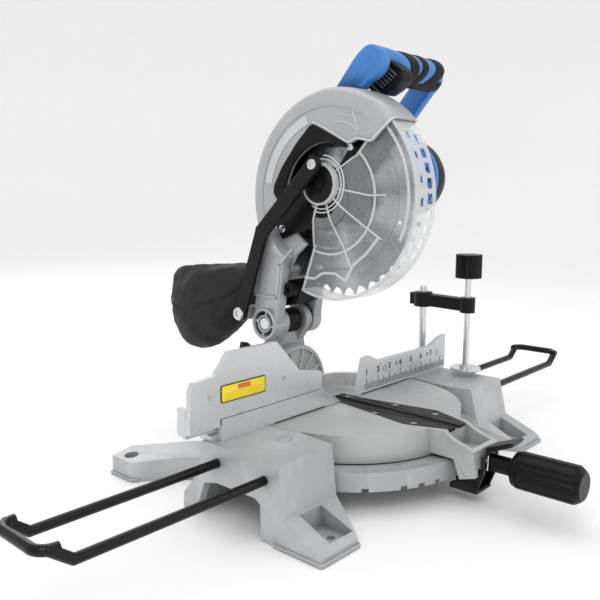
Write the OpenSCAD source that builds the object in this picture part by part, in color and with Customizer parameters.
// Compound mitre saw with a 250 mm blade.
// Origin: on the ground under the turntable's pivot. +X is the operator's right, +Y the back, +Z up.
// The head is raised, the mitre and the bevel are at zero.

/* [Base] */
// Distance from the middle to the outer face of each foot
base_half_w = 238; // [236:0.5:240]
// Height of the two tower tops
tower_top = 83; // [82.6:0.1:83.2]
// Radius of the mitre scale ring
ring_r = 170; // [168:0.5:171]
// Distance from the middle to the crossbar of each pulled-out wing
wing_reach = 475; // [470:1:480]

/* [Turntable] */
// Radius of the turntable
table_r = 145; // [143:0.5:145.5]
// Height of the turntable's top face
table_top = 82.4; // [82:0.1:82.5]
// Half width of the nose that carries the mitre lock
nose_half_w = 27.5; // [27:0.5:29]

/* [Fence] */
// Height of the top edge of the sliding fence
fence_top = 180; // [176:1:181]
// Thickness of the fence walls
fence_t = 7; // [6:0.5:7]

/* [Blade and guards] */
// Blade diameter over the tooth tips
blade_d = 250; // [246:1:251]
// Number of teeth on the blade
tooth_count = 40; // [24:2:48]
// Outer radius of the fixed upper guard
upper_guard_r = 134.5; // [134:0.5:136]
// Outer radius of the clear lower guard
lower_guard_r = 130.5; // [129.5:0.5:130.5]

/* [Motor and handle] */
// Radius of the motor housing
motor_r = 52; // [48:1:54]
// Outer width of the handle
handle_w = 155; // [150:1:158]

/* [Hidden] */
$fn = 64;

eps = 0.01;
pin_play = 0.05;

// Heights of the base
ring_bottom = 27;
ring_top = 49;
table_bottom = 50;
wall = 6;

// Wing rods
rod_r = 5;
rod_z = 64;
rod_y = [-79, -8];
rod_inner_x = 178;
wing_screw_x = 219;
rod_kink_x = 447;
rod_bar_z = 79;

// Foot bolt holes
front_hole = [195, -134];
rear_hole = [222, 168];
foot_hole_r = 4.5;

// Bolts that hold the fence, and the thumb screw of the sliding half
fence_bolt_y = 14;
bolt_x = [165, 205];
clamp_at = [-131, 99];

// Vise, standing in the socket behind the right fence
vise_at = [227, 33];
vise_screw_at = [216, -50];
post_r = 6;
post_bottom = 84;
post_top = 208;
vise_arm_z = [177, 199];
vise_screw_r = 4.5;
pad_z = [92, 99];
knob_z = [228, 262];

// Pivot of the detent lever in the nose, and the screws of the kerf plates
detent_pivot = [-190, 39];
kerf_screw_at = [
    for (s = [-1, 1], p = [[12, 10], [22, -60], [24, -118]]) [s * p[0], p[1]]
];

// Bevel axis runs along Y at table height, chop hinge along X
bevel_z = 82;
trunnion_y = [92, 104];
trunnion_r = 60;
bevel_lock_at = [-36, 118];
hinge = [108, 176];
hinge_pin_r = 8;
arbor = [16, 345];
motor_axis = [16, 370];
hub = [14, 361];
link_foot = [141, 188];
link_eye = [10, 384];
stop_pin_at = [72, 224];

// X positions through the head, from left to right
link_x = [-61, -55];
guard_out_x = [-22, 18];
upper_x = [-28, 24];
upper_wall = 3;
step_r = [60, 63];
// Radius of the bearing cover seen behind the clear hub
cover_r = 40;
disc_x = [-38, -36];
blade_t = 1.8;
bore_r = 15;
spindle_r = 8;
gear_x = [29, 39];
gear_case_x = [24.3, 46];
motor_x = 46.3;
cap_x = 150;
gland_x = 90;

// Handle: bar centre, tilt of the legs and the directions towards their feet and their backs
bar_at = [-27, 505];
bar_r = 20;
leg_t = 16;
handle_tilt = 41.3;
handle_foot_dir = [sin(handle_tilt), -cos(handle_tilt)];
handle_back_dir = [cos(handle_tilt), sin(handle_tilt)];

// Extrudes a (y, z) outline from x0 to x1
module along_x(x0, x1) {
    translate([x0, 0, 0]) rotate([90, 0, 90]) linear_extrude(x1 - x0) children();
}

// Extrudes an (x, z) outline from y0 to y1
module along_y(y0, y1) {
    translate([0, y1, 0]) rotate([90, 0, 0]) linear_extrude(y1 - y0) children();
}

// Round bar along X centred on a (y, z) point
module rod_x(at, r, x0, x1) {
    translate([x0, at[0], at[1]]) rotate([0, 90, 0]) cylinder(r = r, h = x1 - x0);
}

// Round bar along Y centred on an (x, z) point
module rod_y_at(at, r, y0, y1) {
    translate([at[0], y0, at[1]]) rotate([-90, 0, 0]) cylinder(r = r, h = y1 - y0);
}

module both_sides() {
    children();
    mirror([1, 0, 0]) children();
}

// Point at a radius and angle about a centre
function polar(centre, r, a) = [centre[0] + r * cos(a), centre[1] + r * sin(a)];

// Sector outline between two angles, for cutting rings
function sector(centre, r, a0, a1) =
    let (steps = 12)
    concat([centre], [for (i = [0:steps]) polar(centre, r, a0 + (a1 - a0) * i / steps)]);

// ---------- base ----------

// Side outline of a tower with its front foot and rear leg
module tower_side() {
    polygon([
        [-158, 0], [-158, 9], [-150, 14], [-107, 32], [-97, tower_top],
        [18, tower_top], [22, 46], [46, 18], [46, 0]
    ]);
}

// Front outline of the right tower, leaning in slightly towards its top
module tower_front() {
    polygon([[100, 0], [base_half_w, 0], [base_half_w - 5, tower_top], [100, tower_top]]);
}

// Plan of the right tower and its front foot
module tower_plan() {
    difference() {
        polygon([
            [132, 60], [146, -92], [162, -122], [181, -158], [base_half_w, -158], [base_half_w, 46], [190, 60]
        ]);
        circle(r = table_r + 2.5);
    }
}

module tower_solid() {
    intersection() {
        along_x(100, 240) tower_side();
        along_y(-160, 62) tower_front();
        linear_extrude(tower_top) tower_plan();
    }
}

// Hollow under the tower's top, open at the bottom
module tower_hollow() {
    difference() {
        along_x(157, base_half_w - 11) polygon([[-98, -1], [-90, tower_top - wall], [10, tower_top - wall], [38, -1]]);
        for (y = rod_y) {
            rod_x([y, rod_z], 9.5, 150, 240);
            translate([150, y - 3, rod_z]) cube([90, 6, 20]);
        }
    }
    // Arch through the outer wall
    along_x(157, 250) polygon([[-78, -1], [-74, 38], [-66, 42], [-8, 42], [12, 37], [26, -1]]);
}

module rear_arm() {
    plan = [[110, 70], [150, 44], [192, 110], [base_half_w - 1, 148], [base_half_w - 1, 188], [205, 192], [150, 135]];
    difference() {
        intersection() {
            linear_extrude(40) polygon(plan);
            along_y(40, 200) polygon([[60, 10], [200, 0], [240, 0], [240, 24], [200, 28], [60, 42]]);
        }
        // Hollow underside
        translate([0, 0, -1]) linear_extrude(16) polygon([[150, 80], [168, 92], [200, 140], [176, 152]]);
        translate([rear_hole[0], rear_hole[1], 8]) cylinder(r = 9, h = 40);
    }
}

module scale_ring() {
    notch_angles = [-45, -30, -22.5, -15, 0, 15, 22.5, 30, 45];
    recess = 8;
    color("silver") difference() {
        translate([0, 0, ring_bottom]) cylinder(r = ring_r, h = ring_top - ring_bottom, $fn = 128);
        // Shallow recess underneath, with a hub and six ribs left standing
        difference() {
            translate([0, 0, ring_bottom - 1]) cylinder(r = ring_r - 7, h = recess + 1, $fn = 128);
            cylinder(r = 32, h = 60);
            for (a = [30:60:330]) rotate([0, 0, a]) translate([0, -3, 0]) cube([200, 6, 60]);
        }
        // Ledge that the turntable's skirt runs in
        difference() {
            translate([0, 0, ring_top - 1]) cylinder(r = table_r + 1.5, h = 5, $fn = 128);
            translate([0, 0, ring_top - 2]) cylinder(r = table_r - 12, h = 7, $fn = 128);
        }
        for (a = notch_angles)
            rotate([0, 0, a - 90]) translate([ring_r - 9, -4, ring_bottom - 1]) cube([20, 8, 5]);
        translate([0, 0, 5]) cylinder(r = 8 + pin_play, h = 60);
    }
}

// Right tower with its feet; the left one is its mirror image
module tower() {
    seat = 0.1;
    difference() {
        union() {
            difference() {
                tower_solid();
                tower_hollow();
                foot_pocket();
            }
            rear_arm();
        }
        translate([0, 0, ring_bottom - seat])
            cylinder(r = ring_r + seat, h = ring_top - ring_bottom + 2 * seat, $fn = 128);
        for (y = rod_y) rod_x([y, rod_z], rod_r + pin_play, 160, 250);
        translate([front_hole[0], front_hole[1], -1]) cylinder(r = foot_hole_r, h = 40);
        translate([rear_hole[0], rear_hole[1], -1]) cylinder(r = foot_hole_r, h = 40);
        for (y = rod_y) translate([wing_screw_x, y, 40]) cylinder(r = 3, h = rod_z - 40);
        for (x = bolt_x) translate([x, fence_bolt_y, tower_top - 20]) cylinder(r = 3.1, h = 30);
    }
}

module tower_right() {
    color("silver") tower();
}

module tower_left() {
    color("silver") mirror([1, 0, 0]) tower();
}

// Sunk pocket with the bolt hole in the top of a front foot
module foot_pocket() {
    difference() {
        translate([176, -150, 7]) cube([40, 40, 40]);
        along_y(-160, -100) polygon([[170, 0], [178, 0], [184, 40], [170, 40]]);
    }
}

module pivot_bolt() {
    color("dimgray") {
        translate([0, 0, 22]) cylinder(r = 8, h = 52);
        translate([0, 0, ring_bottom - 7]) cylinder(r = 13, h = 6.9, $fn = 6);
        translate([0, 0, 74]) cylinder(r = 12, h = 4);
    }
}

// ---------- fence ----------

module fence() {
    color("gainsboro") difference() {
        union() {
            along_y(0, fence_t) polygon([[-220, tower_top], [-219, 107], [-51, 107], [-14, tower_top]]);
            along_y(0, fence_t) polygon([
                [20, tower_top], [34, 131], [47, 133], [68, 123], [197, 122], [225, 132], [240, 134], [240, tower_top]
            ]);
            bow();
            both_sides() translate([150, fence_t - eps, tower_top]) cube([80, 18, 6]);
            translate([vise_at[0] - 14, fence_t - eps, tower_top]) cube([27, 36, 6]);
            translate([vise_at[0], vise_at[1], tower_top]) cylinder(r = 11, h = 25);
            // Rail that the sliding fence hangs on
            translate([-219, fence_t - eps, 96]) cube([160, 4, 8]);
        }
        both_sides() for (x = bolt_x) {
            translate([x, fence_bolt_y, tower_top - 1]) cylinder(r = 3.1, h = 12);
            translate([x, fence_bolt_y, tower_top + 1]) cylinder(r = 5.2, h = 12);
        }
        translate([vise_at[0], vise_at[1], post_bottom]) cylinder(r = post_r + pin_play, h = 40);
        for (x = [110, 190]) rod_y_at([x, 112], 3, -1, fence_t + 1);
    }
}

// Curved bridge behind the blade that joins the two fence walls
module bow() {
    bow_r = 55;
    difference() {
        translate([0, 0, 86]) cylinder(r = bow_r, h = 20);
        translate([0, 0, 80]) cylinder(r = bow_r - fence_t, h = 40);
        translate([-80, -80, 80]) cube([160, 80, 40]);
    }
}

module fence_bolts() {
    color("dimgray") both_sides() for (x = bolt_x) translate([x, fence_bolt_y, 0]) {
        translate([0, 0, tower_top - 15]) cylinder(r = 3, h = 16.1);
        translate([0, 0, tower_top + 1.05]) difference() {
            cylinder(r = 5, h = 4.8);
            translate([0, 0, 2]) cylinder(r = 2.5, h = 6, $fn = 6);
        }
    }
}

module fence_slide() {
    color("whitesmoke") difference() {
        union() {
            along_y(0, fence_t) polygon([
                [-264, 108], [-262, 146], [-257, 155], [-227, 157], [-208, fence_top], [-133, fence_top],
                [-94, 139], [-53, 130], [-53, 108]
            ]);
            // Lower lip under the overhang and the bracket that hooks over the rail
            translate([-264, 0, 99]) cube([42, fence_t, 9 + eps]);
            translate([-264, fence_t - eps, 96]) cube([6, 14, 30]);
            translate([-260, fence_t + 4.4, 92]) cube([194, 6, 30]);
            translate([-260, fence_t - eps, 108]) cube([194, 6, 6]);
        }
        for (p = [[-122, 134], [-236, 134]]) rod_y_at(p, 3, -1, 8);
        rod_y_at(clamp_at, 3 + pin_play, fence_t, fence_t + 12);
    }
}

module fence_label() {
    color("gold") translate([-221, -0.8, 125]) cube([68, 0.8, 20]);
}

// Thumb screw that clamps the sliding fence against the rail
module fence_clamp() {
    color("#202020") {
        rod_y_at(clamp_at, 3, fence_t + 4.3, fence_t + 29);
        rod_y_at(clamp_at, 8, fence_t + 20, fence_t + 29);
        for (a = [0, 180]) rotate_about(clamp_at, a)
            translate([clamp_at[0] + 6, fence_t + 22, clamp_at[1] - 4]) cube([10, 4, 8]);
    }
}

// ---------- wings ----------

// Pull-out wing: two rods, a raised crossbar and rounded corners
module wing() {
    corner = 14;
    mid_y = (rod_y[0] + rod_y[1]) / 2;
    slope_x = 20;
    rise = rod_bar_z - rod_z;
    lean = atan(rise / slope_x);
    for (y = rod_y) {
        rod_x([y, rod_z], rod_r, rod_inner_x, rod_kink_x);
        translate([rod_kink_x, y, rod_z]) sphere(r = rod_r);
        translate([rod_kink_x, y, rod_z]) rotate([0, 90 - lean, 0])
            cylinder(r = rod_r, h = norm([slope_x, rise]));
        translate([rod_kink_x + slope_x, y, rod_bar_z]) sphere(r = rod_r);
    }
    for (s = [0, 1]) translate([wing_reach - corner, s == 0 ? rod_y[0] + corner : rod_y[1] - corner, rod_bar_z])
        rotate([0, 0, s == 0 ? -90 : 0]) rotate_extrude(angle = 90) translate([corner, 0]) circle(r = rod_r);
    translate([wing_reach, rod_y[0] + corner, rod_bar_z]) rotate([-90, 0, 0])
        cylinder(r = rod_r, h = rod_y[1] - rod_y[0] - 2 * corner);
    for (y = rod_y) rod_x([y, rod_bar_z], rod_r, rod_kink_x + slope_x - 8, wing_reach - corner);
}

module wing_right() {
    color("#181818") wing();
}

module wing_left() {
    color("#181818") mirror([1, 0, 0]) wing();
}

// Screws that clamp the wing rods from below
module wing_screws() {
    color("dimgray") both_sides() for (y = rod_y) translate([wing_screw_x, y, 40]) {
        cylinder(r = 2.9, h = rod_z - rod_r - 40.1);
        cylinder(r = 5, h = 6);
    }
}

// ---------- vise ----------

module vise_post() {
    color("lightgray") translate([vise_at[0], vise_at[1], post_bottom + 0.2])
        cylinder(r = post_r, h = post_top - post_bottom - 0.2);
}

module vise_arm() {
    z = vise_arm_z[0];
    h = vise_arm_z[1] - z;
    reach = norm(vise_screw_at - vise_at);
    turn = atan2(vise_screw_at[1] - vise_at[1], vise_screw_at[0] - vise_at[0]);
    color("#202020") difference() {
        union() {
            translate([vise_at[0], vise_at[1], z]) {
                cylinder(r = 14, h = h);
                rotate([0, 0, turn]) translate([-20, -8, 2]) cube([reach + 20, 16, h - 4]);
            }
            translate([vise_screw_at[0], vise_screw_at[1], z]) cylinder(r = 11, h = h);
        }
        translate([vise_at[0], vise_at[1], z - 1]) cylinder(r = post_r + pin_play, h = h + 2);
        translate([vise_screw_at[0], vise_screw_at[1], z - 1]) cylinder(r = vise_screw_r + pin_play, h = h + 2);
    }
}

module vise_screw() {
    color("lightgray") translate([vise_screw_at[0], vise_screw_at[1], pad_z[0] + 3])
        cylinder(r = vise_screw_r, h = knob_z[0] + 20 - pad_z[0] - 3);
}

module vise_knob() {
    knob_r = 19;
    flutes = 12;
    color("#181818") translate([vise_screw_at[0], vise_screw_at[1], knob_z[0]]) difference() {
        cylinder(r = knob_r, h = knob_z[1] - knob_z[0]);
        translate([0, 0, -1]) cylinder(r = vise_screw_r, h = 21);
        for (i = [0:flutes - 1]) rotate([0, 0, i * 360 / flutes]) translate([knob_r + 1.2, 0, -1])
            cylinder(r = 2.6, h = 60, $fn = 16);
    }
}

module vise_pad() {
    color("gainsboro") translate([vise_screw_at[0], vise_screw_at[1], pad_z[0]]) difference() {
        union() {
            cylinder(r = 22, h = 3);
            cylinder(r = 9, h = pad_z[1] - pad_z[0]);
        }
        translate([0, 0, 2.9]) cylinder(r = vise_screw_r + pin_play, h = 10);
    }
}

// ---------- turntable ----------

// Side outline of the nose that carries the mitre lock
module nose_side() {
    polygon([
        [-120, 53], [-174, 53], [-182, 31], [-202, 37], [-202, 44], [-199, 66], [-194, 68], [-172, 75],
        [-160, table_top], [-120, table_top]
    ]);
}

// Plan of the recess that the two kerf plates lie in, narrow at the fence and at the nose
module kerf_plan() {
    polygon([
        [-19, 24], [-19, -8], [-37, -112], [-18, -163], [18, -163], [37, -112], [19, -8], [19, 24]
    ]);
}

module turntable() {
    color("gainsboro") difference() {
        union() {
            difference() {
                translate([0, 0, table_bottom]) cylinder(r = table_r, h = table_top - table_bottom, $fn = 128);
                // Hollow underside with four ribs
                difference() {
                    translate([0, 0, table_bottom - 1]) cylinder(r = table_r - wall, h = 25, $fn = 128);
                    for (x = [-70, 70]) translate([x - 2, -200, 0]) cube([4, 400, 100]);
                    translate([0, 0, 40]) cylinder(r = 26, h = 40);
                    translate([-60, 78, 40]) cube([120, 66, 40]);
                }
            }
            along_x(-nose_half_w, nose_half_w) nose_side();
            // Upright face that the bevel arm turns against
            along_y(trunnion_y[0], trunnion_y[1]) intersection() {
                translate([0, bevel_z]) circle(r = trunnion_r, $fn = 96);
                translate([-100, table_bottom + 5]) square([200, 120]);
            }
        }
        // Recess and slot for the kerf plates and the blade
        translate([0, 0, table_top - 4]) linear_extrude(10) kerf_plan();
        translate([-8, -156, 40]) cube([25, 128, 60]);
        translate([-8, -30, 70]) cube([25, 16, 60]);
        // Pocket and channel in the nose
        translate([-21, -194, 58]) cube([42, 32, 40]);
        translate([-21, -210, 25]) cube([42, 60, 22]);
        // Room behind the upright face for the bevel arm
        translate([-200, trunnion_y[1], 40]) cube([400, 80, 60]);
        translate([0, 0, 40]) cylinder(r = 8 + pin_play, h = 34.2);
        translate([0, 0, 73.95]) cylinder(r = 12.5, h = 20);
        // Room for the head of the bevel bolt
        translate([-15, 84, bevel_z - 15]) cube([30, trunnion_y[0] - 84, 40]);
        rod_y_at([0, bevel_z], hinge_pin_r + pin_play, 90, 120);
        rod_y_at([0, 50], 5 + pin_play, -210, -170);
        rod_x(detent_pivot, 2.5, -40, 40);
        for (p = kerf_screw_at) translate([p[0], p[1], 60]) cylinder(r = 2, h = 30);
    }
}

// One kerf plate: half of the recess with a narrow slot left in the middle
module kerf_plate() {
    slot_half = 2.5;
    difference() {
        intersection() {
            translate([0, 0, table_top - 3.8]) linear_extrude(3.8) offset_in() kerf_plan();
            translate([slot_half, -200, 0]) cube([100, 300, 100]);
        }
        // Chamfer under the slot's edge, which clears the tilted blade
        along_y(-200, 100) polygon([
            [slot_half - 1, table_top - 0.1], [slot_half + 6, table_top - 6], [slot_half - 1, table_top - 6]
        ]);
        for (p = kerf_screw_at) translate([p[0], p[1], table_top - 10]) cylinder(r = 2.1, h = 20);
        for (p = kerf_screw_at) translate([p[0], p[1], table_top - 1.8]) cylinder(r = 4, h = 5);
    }
}

// Shrinks the kerf outline a little on every side
module offset_in() {
    translate([0, -70]) scale([0.985, 0.995]) translate([0, 70]) children();
}

module kerf_plate_right() {
    color("#303030") kerf_plate();
}

module kerf_plate_left() {
    color("#303030") mirror([1, 0, 0]) kerf_plate();
}

module kerf_screws() {
    color("lightgray") for (p = kerf_screw_at) translate([p[0], p[1], table_top]) {
        translate([0, 0, -8]) cylinder(r = 1.9, h = 6.2);
        translate([0, 0, -1.8]) difference() {
            cylinder(r = 3.8, h = 1.5);
            translate([-0.5, -3, 0.8]) cube([1, 6, 2]);
        }
    }
}

module detent_pin() {
    color("lightgray") rod_x(detent_pivot, 2.45, -27, 27);
}

module detent_spring() {
    color("silver") for (x = [-12:3:-3]) translate([x, detent_pivot[0], detent_pivot[1]]) rotate([0, 90, 0])
        rotate_extrude() translate([4.2, 0]) circle(r = 1, $fn = 16);
}

// Screw that clamps the nose against the ring, with its grip
module lock_rod() {
    color("silver") rod_y_at([0, 50], 5, -242, -172);
}

module lock_grip() {
    grip_r = 21;
    flutes = 10;
    color("#202020") difference() {
        union() {
            rod_y_at([0, 50], 10, -236, -207);
            translate([0, -234, 50]) rotate([90, 0, 0]) rotate_extrude() polygon([
                [0, 0], [14, 0], [19, 3], [grip_r, 9], [grip_r, 70], [grip_r - 3, 75], [15, 78], [0, 78]
            ]);
        }
        rod_y_at([0, 50], 5, -242, -200);
        for (i = [0:flutes - 1]) rotate_about([0, 50], i * 360 / flutes)
            translate([grip_r + 2.2, -320, 50]) rotate([-90, 0, 0]) cylinder(r = 4, h = 76, $fn = 24);
    }
}

// Turns its children about an axis along Y through an (x, z) point
module rotate_about(at, a) {
    translate([at[0], 0, at[1]]) rotate([0, a, 0]) translate([-at[0], 0, -at[1]]) children();
}

// Sheet lever under the nose: two cheeks, a thumb plate in front and a detent tongue below the ring
module detent_lever() {
    color("#1c1c1c") difference() {
        union() {
            // Thumb plate above the grip
            along_x(-8, 18) polygon([[-204, 68], [-232, 80], [-236, 80], [-234, 75], [-206, 63]]);
            along_x(-8, 18) polygon([[-204, 68.2], [-204, 56], [-207, 56], [-207, 64]]);
            // Stirrup around the clamp screw
            for (x = [-17, 14]) along_x(x, x + 3) polygon([
                [-207, 60], [-203.5, 60], [-203.5, 44.5], [-184, 44.5], [-182, 30], [-164, 20], [-164, 14],
                [-197, 14], [-207, 40]
            ]);
            along_x(-17, 17) polygon([[-199, 14], [-164, 14], [-164, 17], [-198, 17]]);
            along_x(-17, 17) polygon([[-207, 60], [-203.5, 60], [-203.5, 57], [-207, 57]]);
            translate([-3, -169, 14]) cube([6, 5, 11]);
        }
        rod_x(detent_pivot, 2.5, -40, 40);
    }
}

// ---------- bevel arm and hinge ----------

module bevel_arm() {
    arm_y = [trunnion_y[1] + 0.6, trunnion_y[1] + 18];
    color("silver") difference() {
        union() {
            rod_y_at([0, bevel_z], 30, arm_y[0], arm_y[1]);
            along_y(arm_y[0], arm_y[1]) polygon([
                [-29, bevel_z], [29, bevel_z], [34, 124], [29, 150], [29, 172], [-29, 172], [-29, 150], [-50, 128],
                [-44, 108]
            ]);
            // Hinge ears
            for (x = [-29, 17]) {
                rod_x(hinge, 20, x, x + 12);
                along_x(x, x + 12) polygon([[92, 164], [arm_y[0], 146], [arm_y[1], 146], [126, 168]]);
            }
            // Lug that carries the lower pivot of the guard link
            along_x(-29, -17) polygon([[110, 150], [122, 150], [149, 176], [149, 196], [133, 196], [124, 170]]);
            along_x(-53, -17) polygon([[133, 180], [149, 180], [149, 196], [133, 196]]);
        }
        rod_x(hinge, hinge_pin_r + pin_play, -60, 60);
        rod_x(hinge, 17.5, -16.8, 16.8);
        rod_y_at([0, bevel_z], hinge_pin_r + pin_play, 90, 140);
        rod_x(link_foot, 3 + pin_play, -60, -40);
        rod_y_at(bevel_lock_at, 4 + pin_play, 90, 140);
    }
}

module bevel_bolt() {
    color("dimgray") {
        rod_y_at([0, bevel_z], hinge_pin_r, 88, 131);
        rod_y_at([0, bevel_z], 13, 86, 91.6);
        translate([0, 122.4, bevel_z]) rotate([-90, 0, 0]) cylinder(r = 14, h = 7, $fn = 6);
    }
}

module hinge_pin() {
    color("lightgray") rod_x(hinge, hinge_pin_r, -46, 46);
}

// Torsion spring around the hinge pin
module return_spring() {
    color("#262626") for (x = [-13.5:4.5:13.5]) translate([x, hinge[0], hinge[1]]) rotate([0, 90, 0])
        rotate_extrude() translate([14.5, 0]) circle(r = 2.4, $fn = 24);
}

module bevel_lock() {
    color("#181818") {
        rod_y_at(bevel_lock_at, 4, 106, 134);
        rod_y_at(bevel_lock_at, 9, 122.6, 136);
        along_y(126, 134) polygon([[-42, 112], [-30, 122], [-59, 150], [-66, 151], [-68, 143]]);
    }
}

// ---------- head ----------

// Cheek of the head's arm from the hinge boss up into the guard
module arm_outline() {
    polygon([
        [88, 170], [80, 212], [74, 262], [46, 285], [30, 320], [70, 330], [106, 300], [112, 272], [121, 236],
        [129, 182]
    ]);
    translate(hinge) circle(r = 22);
}

// Guard outline: the part of the disc above the front edge and behind the arm
module upper_guard_outline() {
    difference() {
        translate(arbor) circle(r = upper_guard_r, $fn = 128);
        polygon([
            arbor, polar(arbor, 90, 122), polar(arbor, 200, 139), polar(arbor, 300, 200), polar(arbor, 300, 250),
            polar(arbor, 220, 303)
        ]);
    }
}

module upper_guard() {
    color("silver") difference() {
        union() {
            along_x(upper_x[0], upper_x[1]) upper_guard_outline();
            for (x = [[-48, -30], [30, 48]]) along_x(x[0], x[1]) arm_outline();
            // Webs that tie the two cheeks to the guard behind the blade
            along_x(-30, 30) polygon([[96, 250], [112, 272], [121, 236], [122, 215], [112, 215]]);
            for (x = [[-30, -24.5], [24.3, 30]]) along_x(x[0], x[1]) polygon([
                [74, 262], [46, 285], [30, 320], [70, 322], [106, 296], [112, 272], [100, 250]
            ]);
        }
        // Room for the blade and the lower guard
        rod_x(arbor, upper_guard_r - upper_wall, upper_x[0] + upper_wall + 0.2, 20);
        // Middle opening in the left wall, behind the centre cover
        rod_x(arbor, step_r[1] + 4, -70, upper_x[0] + upper_wall + 1);
        // Middle opening in the right wall, for the spindle
        rod_x(arbor, 17, 0, 60);
        // Seats of the centre cover and the stop pin in the left cheek
        rod_x(arbor, 94, -60, -30);
        rod_x(polar(arbor, 80, -31), 2.6, -40, -20);
        rod_x(stop_pin_at, 10, -60, -29);
        rod_x(arbor, 34.3, upper_x[1], 60);
        rod_x(motor_axis, motor_r - 3.7, upper_x[1], 60);
        rod_x(hinge, hinge_pin_r, -60, 60);
        translate([-2, 105, 232]) rotate([-90, 0, 0]) cylinder(r = 15, h = 40);
    }
}

module guard_plate() {
    color("#101010") difference() {
        along_x(upper_x[0] - 2, upper_x[0]) polygon([
            [37, 436], [20, 428], [-19, 408], [-40, 345], [40, 285], [86, 301], [85, 325], [97, 340], [105, 350],
            [104, 360], [90, 383], [64, 413], [42, 434]
        ]);
        rod_x(arbor, step_r[1] + 4, -70, 0);
        along_x(-60, 0) polygon([
            arbor, polar(arbor, 200, 118), polar(arbor, 200, 180), polar(arbor, 200, 270), polar(arbor, 200, -20)
        ]);
    }
}

// Bearing cover of the lower guard: a disc, a strut to the arm and the pin that the guard turns on
module centre_cover() {
    color("#101010") difference() {
        union() {
            rod_x(arbor, cover_r, -33, -30);
            along_x(-33, -30) polygon([
                polar(arbor, 20, 60), polar(arbor, 66, -16), polar(arbor, 92, -24), polar(arbor, 92, -38),
                polar(arbor, 66, -46), polar(arbor, 20, -110)
            ]);
            rod_x(arbor, 7, -44, -32);
        }
        rod_x(polar(arbor, 80, -31), 2.6, -40, -20);
    }
}

module cover_screws() {
    color("lightgray") {
        rod_x(polar(arbor, 80, -31), 2.5, -34, -26);
        rod_x(polar(arbor, 80, -31), 5, -37, -33.1);
    }
}

// Black shell between the cheeks in front of the hinge
module arm_cover() {
    color("#161616") difference() {
        union() {
            along_x(-23, 23) polygon([[88, 200], [68, 208], [60, 240], [78, 244], [94, 232], [111, 214], [112, 202]]);
        }
        rod_x(arbor, upper_guard_r - 2.8, -40, 40);
        rod_x(hinge, 23, -40, 40);
        rod_x(stop_pin_at, 4 + pin_play, -40, -6);
    }
}

module stop_knob() {
    color("#202020") difference() {
        union() {
            rod_x(stop_pin_at, 9, -38, -26);
            rod_x(stop_pin_at, 4, -27, -8);
        }
        rod_x(stop_pin_at, 3, -39, -34);
    }
}

module gear_case() {
    color("#8c8f92") difference() {
        union() {
            rod_x(arbor, 34, gear_case_x[0], gear_case_x[1]);
            rod_x(motor_axis, motor_r - 4, gear_case_x[0], gear_case_x[1]);
        }
        rod_x(arbor, 21.5, gear_case_x[0] + 3, gear_case_x[1] - 3);
        rod_x(motor_axis, 7.5, gear_case_x[0] + 3, gear_case_x[1] + 1);
        rod_x(arbor, 16.9, gear_case_x[0] - 1, gear_case_x[0] + 4);
        rod_y_at([35, arbor[1]], 4 + pin_play, arbor[0] - 50, arbor[0] - 15);
    }
}

module motor_housing() {
    vents = 14;
    color("steelblue") difference() {
        union() {
            rod_x(motor_axis, motor_r, motor_x, cap_x);
            for (x = [100:8:140]) rod_x(motor_axis, motor_r + 1.5, x, x + 3);
        }
        rod_x(motor_axis, motor_r - 4, motor_x + 5, cap_x + 1);
        rod_x(motor_axis, 7.5, motor_x - 1, motor_x + 6);
        for (i = [0:vents - 1]) rotate_about_x(motor_axis, i * 360 / vents)
            translate([116, motor_axis[0] - 2, motor_axis[1] + motor_r - 8]) cube([8, 4, 20]);
        rod_y_at([130, motor_axis[1]], 7, motor_axis[0] - 60, motor_axis[0] + 60);
        rod_y_at([gland_x, motor_axis[1]], 7, motor_axis[0] + 40, motor_axis[0] + 60);
    }
}

// Turns its children about an axis along X through a (y, z) point
module rotate_about_x(at, a) {
    translate([0, at[0], at[1]]) rotate([a, 0, 0]) translate([0, -at[0], -at[1]]) children();
}

module motor_cap() {
    slots = 16;
    color("#202020") difference() {
        translate([cap_x + 0.1, motor_axis[0], motor_axis[1]]) rotate([0, 90, 0]) rotate_extrude() polygon([
            [motor_r - 4, 0], [motor_r, 0], [motor_r, 14], [motor_r - 10, 34], [22, 40], [18, 49.9], [0, 49.9],
            [0, 46], [14, 46], [18, 36], [motor_r - 14, 30], [motor_r - 4, 12]
        ]);
        for (i = [0:slots - 1]) rotate_about_x(motor_axis, i * 360 / slots)
            translate([cap_x + 18, motor_axis[0] - 1.5, motor_axis[1] + 24]) cube([40, 3, 18]);
    }
}

module brush_caps() {
    color("#101010") for (s = [-1, 1]) {
        y0 = motor_axis[0] + (s > 0 ? motor_r - 6 : -motor_r - 1);
        difference() {
            rod_y_at([130, motor_axis[1]], 6.9, y0, y0 + 7);
            translate([124, motor_axis[0] + (s > 0 ? motor_r - 0.5 : -motor_r - 2), motor_axis[1] - 1])
                cube([12, 2.5, 2]);
        }
    }
}

// ---------- handle ----------

// Side outline of a handle leg, sloping from the bar down to the housing
module leg_outline(length, depth) {
    back = bar_at + handle_back_dir * depth / 2;
    front = bar_at - handle_back_dir * depth / 2;
    polygon([
        back - handle_foot_dir * 6, back + handle_foot_dir * length, front + handle_foot_dir * length,
        front - handle_foot_dir * 6, bar_at - handle_foot_dir * 22 - handle_back_dir * 9,
        bar_at - handle_foot_dir * 22 + handle_back_dir * 9
    ]);
}

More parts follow.
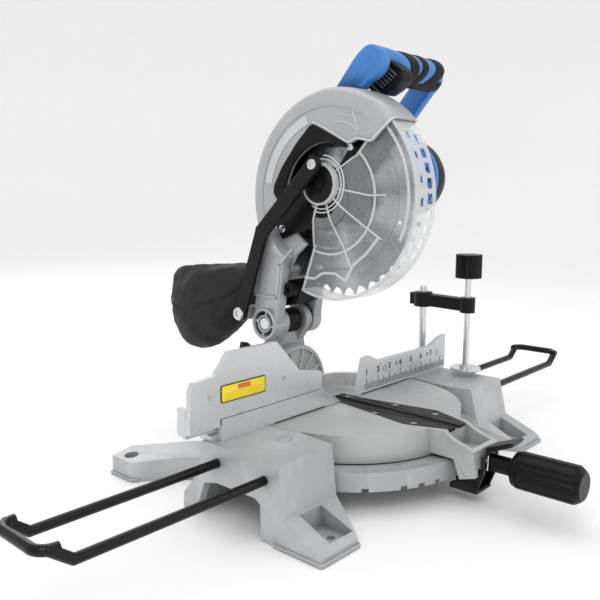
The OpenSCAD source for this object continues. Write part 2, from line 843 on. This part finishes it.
module handle() {
    color("steelblue") difference() {
        union() {
            along_x(0, leg_t) leg_outline(66, 48);
            along_x(handle_w - leg_t, handle_w) leg_outline(100, 40);
            rod_x(bar_at, bar_r - 1.6, leg_t - 4, handle_w - leg_t + 4);
            // Bridge that carries both legs on the motor housing
            along_x(0, handle_w) polygon([
                [20, 434], [40, 434], [52, 447], [36, 466], [22, 462], [14, 448]
            ]);
            along_x(60, handle_w) polygon([[-4, 415], [36, 415], [46, 440], [10, 440]]);
        }
        rod_x(arbor, upper_guard_r + 0.3, -40, upper_x[1] + 0.3);
        rod_x(motor_axis, motor_r + 1.8, -40, 200);
        translate([42, 0, 0]) trigger_slot();
        rod_x(bar_at, 5 + pin_play, handle_w - 14, handle_w + 1);
    }
}

// Slot in the bar that the trigger slides up into
module trigger_slot() {
    translate([0, bar_at[0], bar_at[1]]) rotate([handle_tilt, 0, 0]) translate([0, -17, -30]) cube([24, 34, 36]);
}

module trigger() {
    color("#141414") translate([45, bar_at[0], bar_at[1]]) rotate([handle_tilt, 0, 0]) difference() {
        along_x(0, 18) polygon([[-16, -2], [16, -2], [16, -45], [4, -43], [-16, -24]]);
        for (i = [0:4]) translate([-1, -10 + i, -30 + i * 5]) cube([2.2, 20, 2]);
    }
}

module lock_off() {
    color("#c03020") rod_x(bar_at, 5, handle_w - 10, handle_w + 3);
}

// Rubber bands around the bar
module grip_rubber() {
    bands = [[30, 40.5], [68, 80], [86, 98], [104, 128]];
    color("#1a1a1a") for (b = bands) translate([b[0], bar_at[0], bar_at[1]]) rotate([0, 90, 0]) difference() {
        cylinder(r = bar_r, h = b[1] - b[0]);
        translate([0, 0, -1]) cylinder(r = bar_r - 1.55, h = 60);
    }
}

module handle_screws() {
    color("dimgray") for (s = [30, 75]) {
        p = bar_at + handle_foot_dir * s;
        difference() {
            rod_x(p, 3.5, handle_w + 0.05, handle_w + 1.6);
            rod_x(p, 1.6, handle_w + 0.8, handle_w + 2);
        }
    }
}

// ---------- dust port, cord gland, locks ----------

module dust_nozzle() {
    color("#181818") translate([-2, 112, 232]) rotate([-90, 0, 0]) difference() {
        union() {
            cylinder(r = 14.9, h = 44);
            translate([0, 0, 12]) cylinder(r = 17, h = 3);
        }
        translate([0, 0, -1]) cylinder(r = 12.5, h = 46);
    }
}

module dust_bag() {
    color("#181818") difference() {
        hull() {
            translate([-12, 150, 224]) rotate([-90, 0, 0]) scale([1.5, 0.9, 1]) cylinder(r = 24, h = 2, $fn = 32);
            translate([-24, 200, 198]) scale([1.2, 0.7, 1.35]) sphere(r = 34, $fn = 32);
            translate([-26, 270, 188]) scale([1, 1, 1.42]) sphere(r = 42, $fn = 32);
        }
        translate([-2, 140, 232]) rotate([-90, 0, 0]) cylinder(r = 15.1, h = 18);
    }
}

module cord_gland() {
    color("#101010") translate([gland_x, motor_axis[0] + motor_r - 4, motor_axis[1]]) rotate([-90, 0, 0])
        difference() {
            union() {
                cylinder(r = 7, h = 30);
                for (z = [12:5:26]) translate([0, 0, z]) cylinder(r = 8.5, h = 2);
            }
            translate([0, 0, -1]) cylinder(r = 3.6, h = 40);
        }
}

module spindle_lock() {
    color("#101010") rod_y_at([35, arbor[1]], 4, arbor[0] - 42, arbor[0] - 22.5);
}

// ---------- lower guard, link and blade ----------

module lower_guard() {
    arc = [130, 291];
    ring_x = [-46, disc_x[1]];
    color([0.85, 0.88, 0.9, 0.5]) difference() {
        union() {
            rod_x(arbor, lower_guard_r, guard_out_x[0], guard_out_x[1]);
            rod_x(arbor, step_r[1], disc_x[0], guard_out_x[0] + 1);
            rod_x(hub, 26, ring_x[0], disc_x[0] + 1);
            for (a = [150, 190, 225, 262]) rotate_about_x(arbor, a)
                translate([disc_x[0] - 3, arbor[0] + 26, arbor[1] - 1.5]) cube([4, 34, 3]);
        }
        rod_x(arbor, lower_guard_r - 3, guard_out_x[0] + 2, guard_out_x[1] + 1);
        rod_x(arbor, step_r[0], disc_x[1], guard_out_x[0] + 3);
        rod_x(hub, 23, ring_x[0] - 1, disc_x[0]);
        rod_x(arbor, 7 + pin_play, -60, -30);
        // Open sector, outside the full hub ring
        along_x(-60, 30) difference() {
            polygon(sector(arbor, 300, arc[1] - 360, arc[0]));
            translate(hub) circle(r = 26);
        }
        // Windows in the rim band
        for (a = [150:8:215]) rotate_about_x(arbor, a)
            translate([2, arbor[0] + lower_guard_r - 6, arbor[1] - 6]) cube([10, 12, 12]);
    }
}

module hub_cap() {
    color("#101010") rod_x(hub, 22.8, -45, -44.2);
}

module link_lever() {
    bend = [99, 300];
    width = 20;
    color("#141414") difference() {
        along_x(link_x[0], link_x[1]) union() {
            link_leg(link_foot, bend, width);
            link_leg(bend, link_eye, width);
            for (p = [link_foot, bend, link_eye]) translate(p) circle(r = width / 2 + 0.5);
        }
        rod_x(link_foot, 3 + pin_play, -70, -50);
        rod_x(link_eye, 3.1, -70, -50);
    }
}

// Straight bar outline between two (y, z) points
module link_leg(from, to, width) {
    length = norm(to - from);
    translate(from) rotate(atan2(to[1] - from[1], to[0] - from[0])) translate([0, -width / 2])
        square([length, width]);
}

module link_screws() {
    color("lightgray") {
        rod_x(link_foot, 3, -63, -46);
        rod_x(link_foot, 9, -65, -61.05);
        rod_x(link_eye, 3, -63, -55);
        rod_x(link_eye, 6, -64, -61.05);
    }
}

module blade() {
    tooth_r = blade_d / 2;
    gullet_r = tooth_r - 8;
    pitch = 360 / tooth_count;
    profile = [
        for (i = [0:tooth_count - 1], k = [0:3])
            polar([0, 0], k == 1 ? tooth_r : (k == 2 ? tooth_r - 1.5 : gullet_r),
                  pitch * i + pitch * [0, 0.55, 0.72, 0.78][k])
    ];
    color("lightsteelblue") translate([-blade_t / 2, arbor[0], arbor[1]]) rotate([90, 0, 90]) difference() {
        linear_extrude(blade_t) polygon(profile);
        translate([0, 0, -1]) cylinder(r = bore_r, h = 5);
    }
}

module flanges() {
    color("dimgray") {
        difference() {
            rod_x(arbor, 26, -6, -blade_t / 2);
            rod_x(arbor, spindle_r, -10, 2);
        }
        difference() {
            union() {
                rod_x(arbor, 26, blade_t / 2, 6);
                rod_x(arbor, bore_r - 0.05, -blade_t / 2, blade_t / 2 + eps);
            }
            rod_x(arbor, spindle_r, -10, 10);
        }
    }
}

module arbor_bolt() {
    color("dimgray") {
        translate([-13, arbor[0], arbor[1]]) rotate([0, 90, 0]) cylinder(r = 9, h = 5, $fn = 6);
        rod_x(arbor, 11, -8, -6.05);
    }
}

module spindle() {
    color("lightgray") {
        rod_x(arbor, spindle_r, -6, 42.5);
        rod_x(arbor, 12, 6.05, 22);
    }
}

// Spur gear outline; the tooth at angle zero points along +X of its own plane
module gear_outline(teeth, module_mm) {
    r = teeth * module_mm / 2;
    tip = r + 0.8 * module_mm;
    root = r - 1.1 * module_mm;
    step = 360 / teeth;
    points = [
        for (i = [0:teeth - 1], k = [0:3])
            polar([0, 0], k == 0 || k == 3 ? root : tip, step * i + step * [-0.27, -0.1, 0.1, 0.27][k])
    ];
    polygon(points);
}

module gear() {
    color("gray") difference() {
        translate([gear_x[0], arbor[0], arbor[1]]) rotate([90, 0, 90]) linear_extrude(gear_x[1] - gear_x[0])
            gear_outline(40, 1);
        rod_x(arbor, spindle_r, 0, 50);
    }
}

module armature() {
    color("#b87333") {
        translate([gear_x[0], motor_axis[0], motor_axis[1]]) rotate([90, 0, 90])
            linear_extrude(gear_x[1] - gear_x[0]) gear_outline(10, 1);
        rod_x(motor_axis, 3.5, gear_x[1] - 1, 172);
        rod_x(motor_axis, 30, 60, 112);
        rod_x(motor_axis, 17, 120, 146);
    }
}

scale_ring();
tower_left();
tower_right();
pivot_bolt();
fence();
fence_bolts();
wing_screws();
turntable();
kerf_plate_left();
kerf_plate_right();
kerf_screws();
detent_pin();
detent_spring();
lock_rod();
lock_grip();
detent_lever();
fence_slide();
fence_label();
fence_clamp();
wing_left();
wing_right();
vise_post();
vise_arm();
vise_screw();
vise_knob();
vise_pad();
bevel_arm();
bevel_bolt();
hinge_pin();
return_spring();
bevel_lock();
upper_guard();
guard_plate();
centre_cover();
cover_screws();
arm_cover();
gear_case();
motor_housing();
motor_cap();
brush_caps();
handle();
grip_rubber();
handle_screws();
dust_nozzle();
dust_bag();
cord_gland();
stop_knob();
spindle_lock();
trigger();
lock_off();
lower_guard();
hub_cap();
link_lever();
link_screws();
blade();
flanges();
arbor_bolt();
spindle();
gear();
armature();
